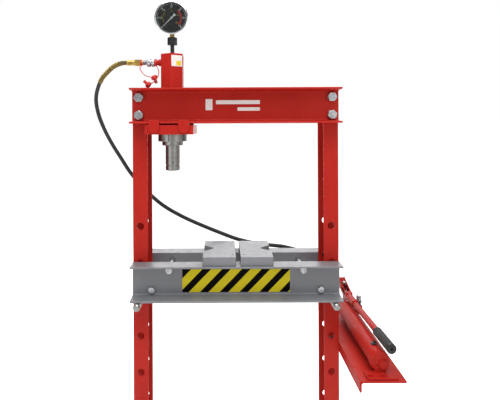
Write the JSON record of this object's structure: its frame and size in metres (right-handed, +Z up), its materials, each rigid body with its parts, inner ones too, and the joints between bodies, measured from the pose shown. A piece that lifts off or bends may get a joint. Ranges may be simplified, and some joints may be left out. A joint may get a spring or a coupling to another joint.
{
  "type": "hydraulic shop press",
  "caption": "Channel-frame shop press: ram carriage that slides along the head beam, pressure gauge, pinned bed with arbor plates, side-mounted hand pump.",
  "frame": {"origin": "on the floor, midway between the two posts, on the underside of the floor tie", "axes": "+X to the operator's right along the head beam, +Y to the back, +Z up"},
  "size_m": [0.8688, 0.56, 1.762],
  "materials": {
    "red_paint": "semi-gloss enamel",
    "grey_paint": "satin enamel",
    "zinc_plate": "bright zinc plate",
    "machined_steel": "turned",
    "brass_plate": "yellow passivated",
    "black_rubber": "matt",
    "red_plastic": "soft moulded",
    "black_metal": "black oxide",
    "bright_bezel": "polished stainless",
    "dial_face": "printed matt",
    "clear_glass": "clear",
    "needle_enamel": "white enamel"
  },
  "bodies": {
    "frame": {"left_post": "red_paint", "right_post": "red_paint", "head_channel_front": "red_paint", "head_channel_back": "red_paint", "left_head_bolt_upper": "zinc_plate", "left_head_bolt_lower": "zinc_plate", "right_head_bolt_upper": "zinc_plate", "right_head_bolt_lower": "zinc_plate", "floor_tie": "red_paint", "left_foot": "red_paint", "right_foot": "red_paint", "left_front_brace": "red_paint", "left_back_brace": "red_paint", "right_front_brace": "red_paint", "right_back_brace": "red_paint", "left_foot_bolt_front": "zinc_plate", "left_foot_bolt_back": "zinc_plate", "right_foot_bolt_front": "zinc_plate", "right_foot_bolt_back": "zinc_plate", "pump_bracket": "red_paint", "bracket_bolt_front": "zinc_plate", "bracket_bolt_back": "zinc_plate", "pump_reservoir": "red_paint", "reservoir_cap": "red_paint", "filler_plug": "red_paint", "pump_head": "red_paint", "pump_hose_fitting": "brass_plate", "hose": "black_rubber"},
    "carriage": {"carriage_plate": "red_paint", "cylinder_body": "red_paint", "lock_ring": "machined_steel", "coupler": "zinc_plate", "coupler_dust_cap": "red_plastic", "hose_dust_cap": "red_plastic", "hose_ferrule": "brass_plate", "hose_guard": "brass_plate", "gauge_adapter": "black_metal", "gauge_socket": "brass_plate", "gauge_case": "black_metal", "gauge_bezel": "bright_bezel", "gauge_dial": "dial_face", "gauge_lens": "clear_glass"},
    "needle": {"gauge_needle": "needle_enamel"},
    "ram": {"ram_rod": "machined_steel", "ram_nose": "machined_steel", "return_spring": "machined_steel"},
    "bed": {"bed_channel_front": "grey_paint", "bed_channel_back": "grey_paint", "bed_tie_left_upper": "zinc_plate", "bed_tie_left_lower": "zinc_plate", "bed_tie_right_upper": "zinc_plate", "bed_tie_right_lower": "zinc_plate"},
    "left_plate": {"left_arbor_plate": "grey_paint"},
    "right_plate": {"right_arbor_plate": "grey_paint"},
    "left_pin": {"left_bed_pin": "machined_steel"},
    "right_pin": {"right_bed_pin": "machined_steel"},
    "handle": {"pump_handle": "red_paint", "handle_grip": "black_rubber"},
    "plunger": {"pump_plunger": "machined_steel"},
    "valve": {"release_valve": "zinc_plate"}
  },
  "joints": [
    {"name": "carriage_slide", "type": "slide", "parent": "frame", "child": "carriage", "axis": [1, 0, 0], "range_m": [0, 0.373]},
    {"name": "ram_stroke", "type": "slide", "parent": "carriage", "child": "ram", "axis": [0, 0, -1], "range_m": [0, 0.185], "stiffness_N_per_m": 250, "springref_m": -0.25, "deforming": ["return_spring"]},
    {"name": "needle_turn", "type": "hinge", "parent": "carriage", "child": "needle", "pos_m": [-0.1865, -0.0188, 1.712], "axis": [0, 1, 0], "range_deg": [0, 270], "stiffness_Nm_per_rad": 0.002, "springref_deg": -17.19},
    {"name": "bed_lift", "type": "slide", "parent": "frame", "child": "bed", "axis": [0, 0, 1], "range_m": [0, 0.075]},
    {"name": "left_plate_slide", "type": "slide", "parent": "bed", "child": "left_plate", "axis": [-1, 0, 0], "range_m": [0, 0.055]},
    {"name": "right_plate_slide", "type": "slide", "parent": "bed", "child": "right_plate", "axis": [1, 0, 0], "range_m": [0, 0.055]},
    {"name": "left_pin_pull", "type": "slide", "parent": "frame", "child": "left_pin", "axis": [0, -1, 0], "range_m": [0, 0.165]},
    {"name": "right_pin_pull", "type": "slide", "parent": "frame", "child": "right_pin", "axis": [0, -1, 0], "range_m": [0, 0.165]},
    {"name": "handle_swing", "type": "hinge", "parent": "frame", "child": "handle", "pos_m": [0.376, 0.22, 0.848], "axis": [-1, 0, 0], "range_deg": [0, 60]},
    {"name": "plunger_stroke", "type": "slide", "parent": "frame", "child": "plunger", "axis": [0, 0, 1], "range_m": [0, 0.033]},
    {"name": "valve_turn", "type": "hinge", "parent": "frame", "child": "valve", "pos_m": [0.404, 0.118, 0.82], "axis": [0, 0, 1], "range_deg": [0, 180]}
  ],
  "couplings": [
    {"joint": "plunger_stroke", "follows": "handle_swing", "m_per_rad": 0.03}
  ]
}
